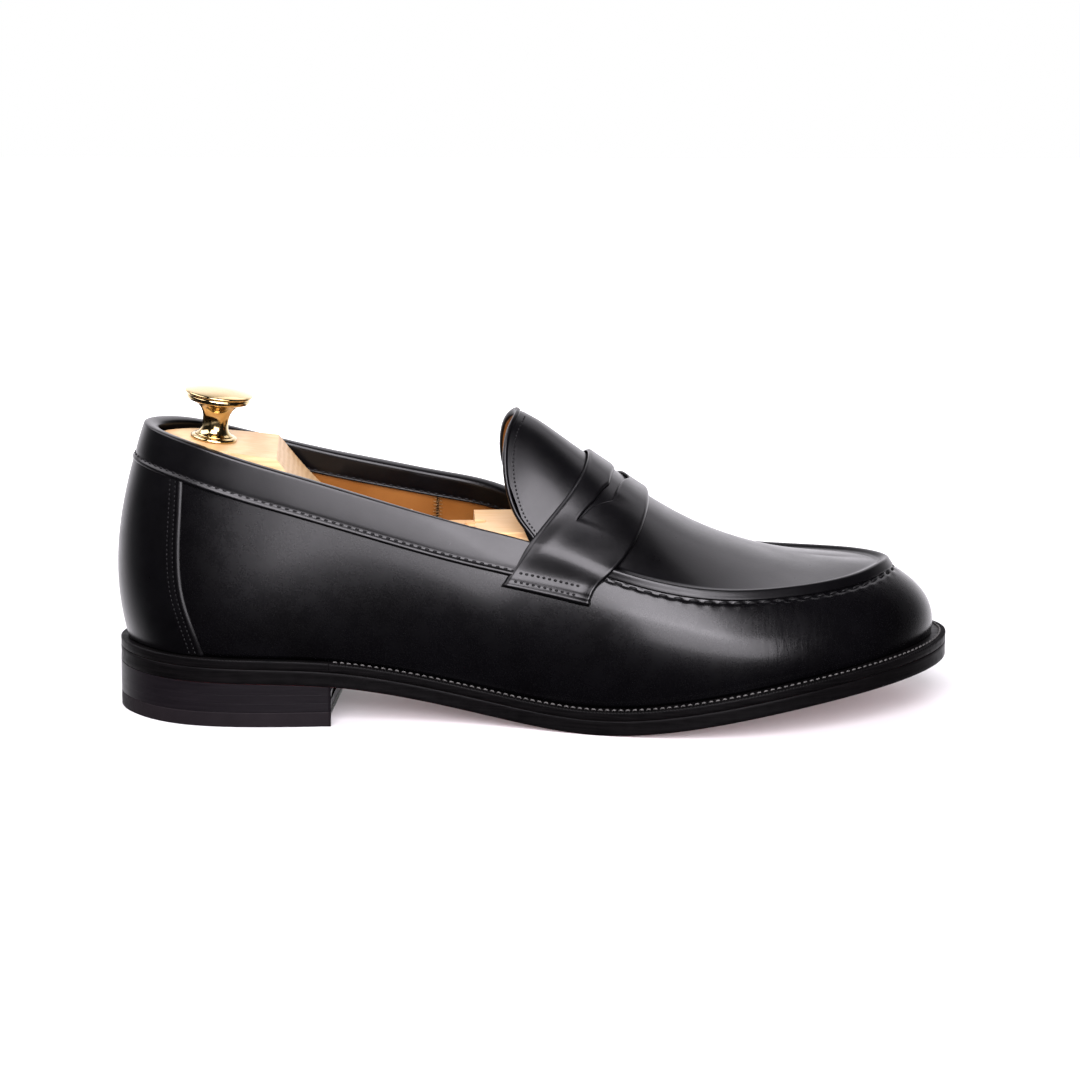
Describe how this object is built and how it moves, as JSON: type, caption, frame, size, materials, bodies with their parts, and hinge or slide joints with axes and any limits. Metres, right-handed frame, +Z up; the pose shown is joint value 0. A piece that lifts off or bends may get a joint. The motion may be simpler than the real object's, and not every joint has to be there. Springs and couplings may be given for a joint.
{
  "type": "penny loafer with shoe tree",
  "caption": "Black leather penny loafer with apron toe, slotted saddle strap and welted leather sole, holding a hinged wooden shoe tree with a knob.",
  "frame": {"origin": "on the ground under the middle of the shoe's overall length and width", "axes": "+X from heel to toe, +Y towards the inner (medial) side of this right shoe, +Z up"},
  "size_m": [0.2977, 0.1029, 0.1154],
  "materials": {
    "black_calf": "polished",
    "sole_leather": "satin",
    "heel_leather": "satin",
    "heel_rubber": "matte",
    "brass": "polished",
    "steel": "satin",
    "insole_leather": "matte",
    "lining_leather": "satin",
    "cork": "matte",
    "stiffener": "matte",
    "beech": "satin"
  },
  "bodies": {
    "shoe": {"apron": "black_calf", "collar_band": "black_calf", "cork_filler": "cork", "counter_cover": "black_calf", "heel_counter": "stiffener", "heel_lift_1": "heel_leather", "heel_lift_2": "heel_leather", "heel_lift_3": "heel_leather", "heel_nails": "steel", "heel_rand": "sole_leather", "insole": "insole_leather", "insole_rib": "insole_leather", "outsole": "sole_leather", "quarter_lining": "lining_leather", "shank": "steel", "sock_lining": "lining_leather", "strap": "black_calf", "strap_backing": "black_calf", "toe_puff": "stiffener", "tongue_lining": "lining_leather", "top_lift": "heel_rubber", "top_lift_nails": "brass", "tree_forepart": "beech", "tree_hinge_plate": "steel", "tree_plate_rivets": "steel", "vamp": "black_calf", "vamp_lining": "lining_leather", "welt": "sole_leather"},
    "heel_block": {"tree_heel_block": "beech", "tree_knob": "brass", "tree_knob_base": "brass", "tree_knob_screw": "steel", "tree_hinge_pin": "steel"}
  },
  "joints": [
    {"name": "tree_heel_lift", "type": "hinge", "parent": "shoe", "child": "heel_block", "pos_m": [-0.05, 0.0015, 0.06], "axis": [0, 1, 0], "range_deg": [0, 30]}
  ]
}
